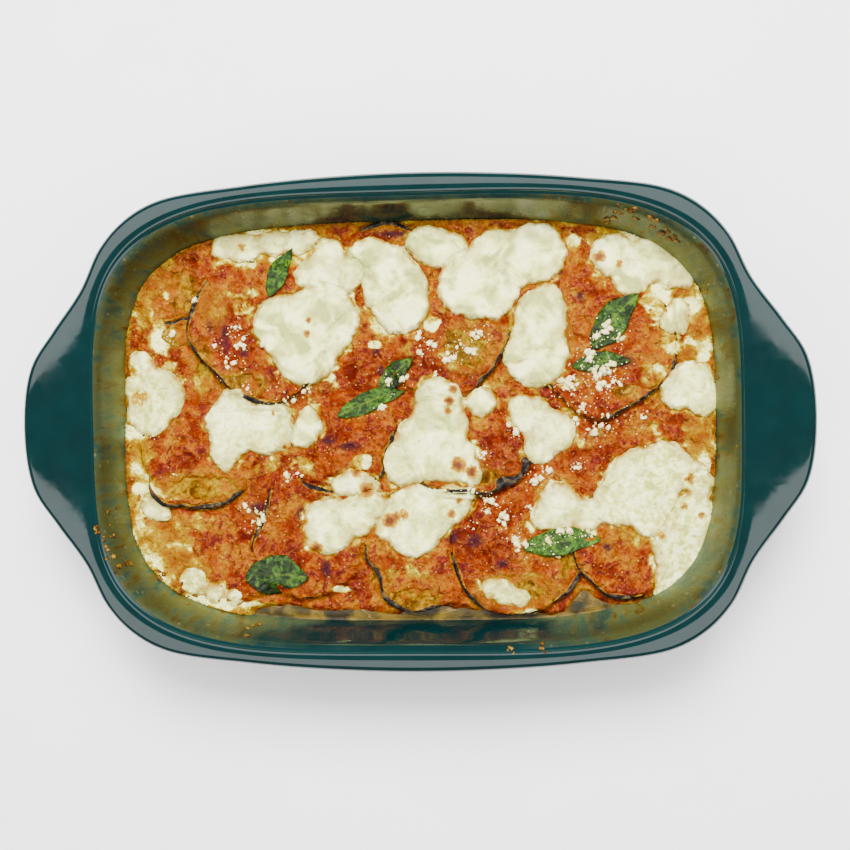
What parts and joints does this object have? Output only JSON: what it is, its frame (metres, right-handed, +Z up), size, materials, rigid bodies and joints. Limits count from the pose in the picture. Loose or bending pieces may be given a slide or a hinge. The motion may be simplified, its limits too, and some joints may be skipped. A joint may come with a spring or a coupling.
{
  "type": "dish of eggplant parmigiana",
  "caption": "Baked eggplant parmigiana with melted mozzarella, tomato sauce and basil in a two-handled ceramic oven dish.",
  "frame": {"origin": "middle of the dish's foot, on the surface that it stands on", "axes": "+X along the two handles, +Y across the dish, +Z up"},
  "size_m": [0.4, 0.2512, 0.07],
  "materials": {
    "ceramic_glaze": "deep teal gloss glaze over stoneware, unglazed pale foot",
    "tomato_sauce": "moist baked tomato sauce with orange oil, soft gloss",
    "eggplant": "baked eggplant flesh, golden brown, with a thin dark skin",
    "mozzarella": "melted mozzarella, creamy white, soft gloss, a few toasted spots",
    "olive_oil": "orange-gold cooking oil, wet gloss",
    "basil": "wilted basil, dark green, slightly glossy"
  },
  "bodies": {
    "root": {"basil_far_left": "basil", "basil_middle_lower": "basil", "basil_middle_upper": "basil", "basil_near_left": "basil", "basil_near_right": "basil", "basil_right": "basil", "basil_right_small": "basil", "dish": "ceramic_glaze", "eggplant_centre": "eggplant", "eggplant_centre_left": "eggplant", "eggplant_centre_upper": "eggplant", "eggplant_corner_left": "eggplant", "eggplant_far_left": "eggplant", "eggplant_far_middle": "eggplant", "eggplant_left_lower": "eggplant", "eggplant_left_upper": "eggplant", "eggplant_near_centre": "eggplant", "eggplant_near_corner": "eggplant", "eggplant_near_left": "eggplant", "eggplant_near_middle": "eggplant", "eggplant_near_right": "eggplant", "eggplant_near_round": "eggplant", "eggplant_right": "eggplant", "filling": "tomato_sauce", "mozzarella_centre": "mozzarella", "mozzarella_corner_near": "mozzarella", "mozzarella_corner_right": "mozzarella", "mozzarella_far_fold": "mozzarella", "mozzarella_far_left": "mozzarella", "mozzarella_far_right": "mozzarella", "mozzarella_far_small": "mozzarella", "mozzarella_far_strip": "mozzarella", "mozzarella_left": "mozzarella", "mozzarella_left_centre": "mozzarella", "mozzarella_left_small": "mozzarella", "mozzarella_left_tail": "mozzarella", "mozzarella_middle_left": "mozzarella", "mozzarella_near_band": "mozzarella", "mozzarella_near_centre": "mozzarella", "mozzarella_near_film": "mozzarella", "mozzarella_near_left": "mozzarella", "mozzarella_near_right": "mozzarella", "mozzarella_near_tail": "mozzarella", "mozzarella_oval": "mozzarella", "mozzarella_right": "mozzarella", "mozzarella_right_centre": "mozzarella", "mozzarella_right_lower": "mozzarella", "mozzarella_right_upper": "mozzarella", "oil_pool": "olive_oil"}
  },
  "joints": []
}
